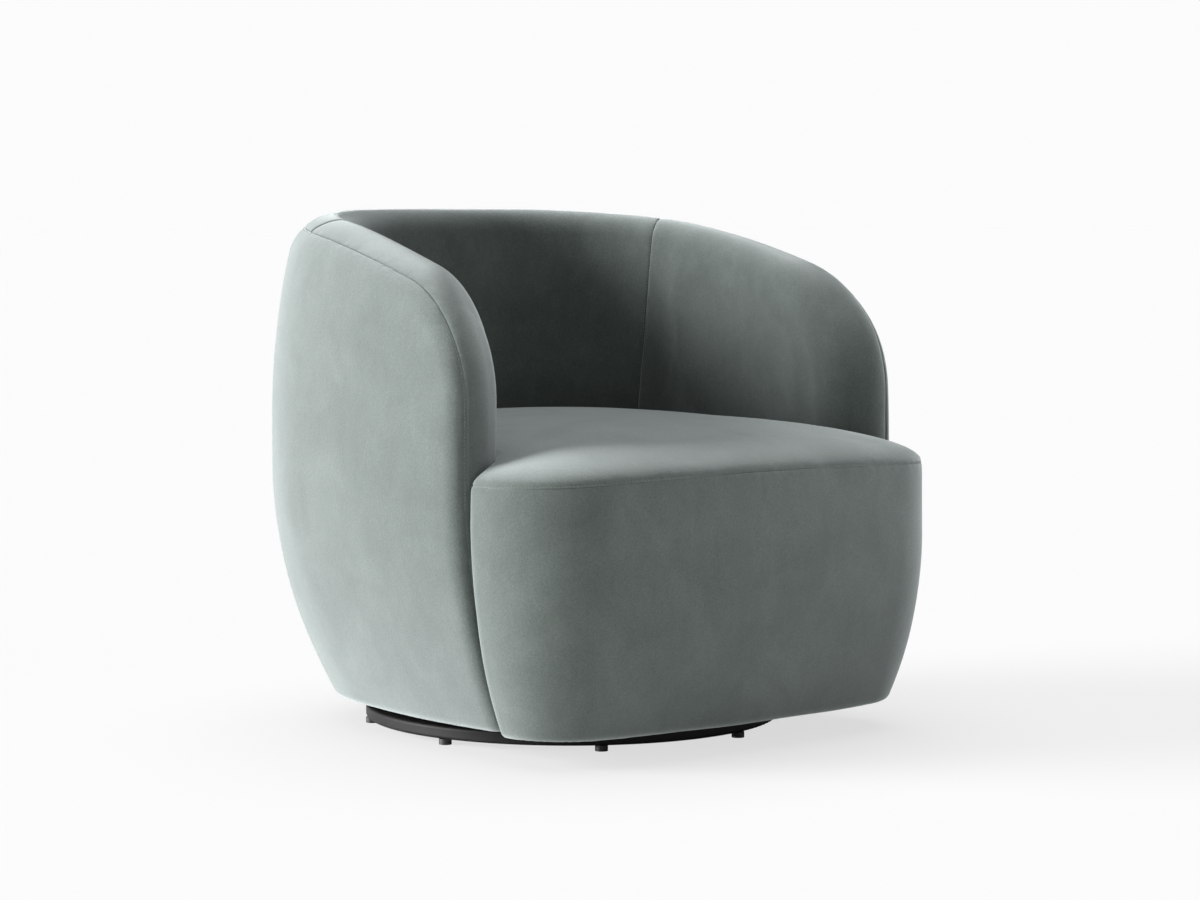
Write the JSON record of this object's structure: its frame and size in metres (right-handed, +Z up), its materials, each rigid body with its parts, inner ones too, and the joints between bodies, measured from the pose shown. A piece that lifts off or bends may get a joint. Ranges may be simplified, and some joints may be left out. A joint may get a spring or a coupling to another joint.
{
  "type": "swivel chair",
  "caption": "Upholstered barrel chair with one sweeping back and arms, a tight crowned seat and a low round base on which it turns.",
  "frame": {"origin": "on the floor, on the axis the chair turns about, in the middle of its width and depth", "axes": "+Z up along the turning axis, +X to the right of someone facing the chair, -Y the way the seat faces"},
  "size_m": [0.8318, 0.873, 0.7454],
  "materials": {
    "velvet": "short-pile velvet over foam",
    "foam": "upholstery foam",
    "felt": "needled felt",
    "dust_cloth": "thin black cloth",
    "black_paint": "plywood painted satin black",
    "black_plastic": "matte black plastic",
    "nylon": "natural nylon",
    "zinc_steel": "zinc-plated steel",
    "ball_steel": "polished bearing steel",
    "spring_steel": "oiled spring wire",
    "plywood": "raw plywood",
    "hardwood": "raw hardwood",
    "fibreboard": "thin bent fibreboard"
  },
  "bodies": {
    "base": {"base_plinth": "black_paint", "floor_glides": "black_plastic", "lower_race_plate": "zinc_steel", "lower_plate_screws": "zinc_steel", "centre_bolt": "zinc_steel", "pivot_washer": "zinc_steel", "lock_nut": "zinc_steel"},
    "bearing": {"ball_cage": "black_plastic", "bearing_balls": "ball_steel"},
    "chair": {"upper_race_plate": "zinc_steel", "upper_plate_screws": "zinc_steel", "pivot_bush": "nylon", "bottom_panel": "plywood", "dust_cover": "dust_cloth", "seat_deck": "plywood", "left_front_post": "hardwood", "right_front_post": "hardwood", "top_rail": "plywood", "rib_screws": "zinc_steel", "deck_screws": "zinc_steel", "outside_board": "fibreboard", "inside_board": "fibreboard", "apron_board": "plywood", "seat_springs": "spring_steel", "spring_clips": "zinc_steel", "spring_pad": "felt", "seat_foam": "foam", "seat_cover": "velvet", "apron_pad": "velvet", "outside_cover": "velvet", "inside_back_pad": "velvet", "left_arm_pad": "velvet", "right_arm_pad": "velvet", "rib_back": "plywood", "rib_back_right": "plywood", "rib_back_left": "plywood", "rib_right": "plywood", "rib_left": "plywood", "rib_front_right": "plywood", "rib_front_left": "plywood"}
  },
  "joints": [
    {"name": "seat_swivel", "type": "hinge", "parent": "base", "child": "chair", "pos_m": [0, 0, 0.033], "axis": [0, 0, 1], "continuous": true},
    {"name": "cage_roll", "type": "hinge", "parent": "base", "child": "bearing", "pos_m": [0, 0, 0.033], "axis": [0, 0, 1], "continuous": true}
  ],
  "couplings": [
    {"joint": "cage_roll", "follows": "seat_swivel", "ratio": 0.5}
  ]
}
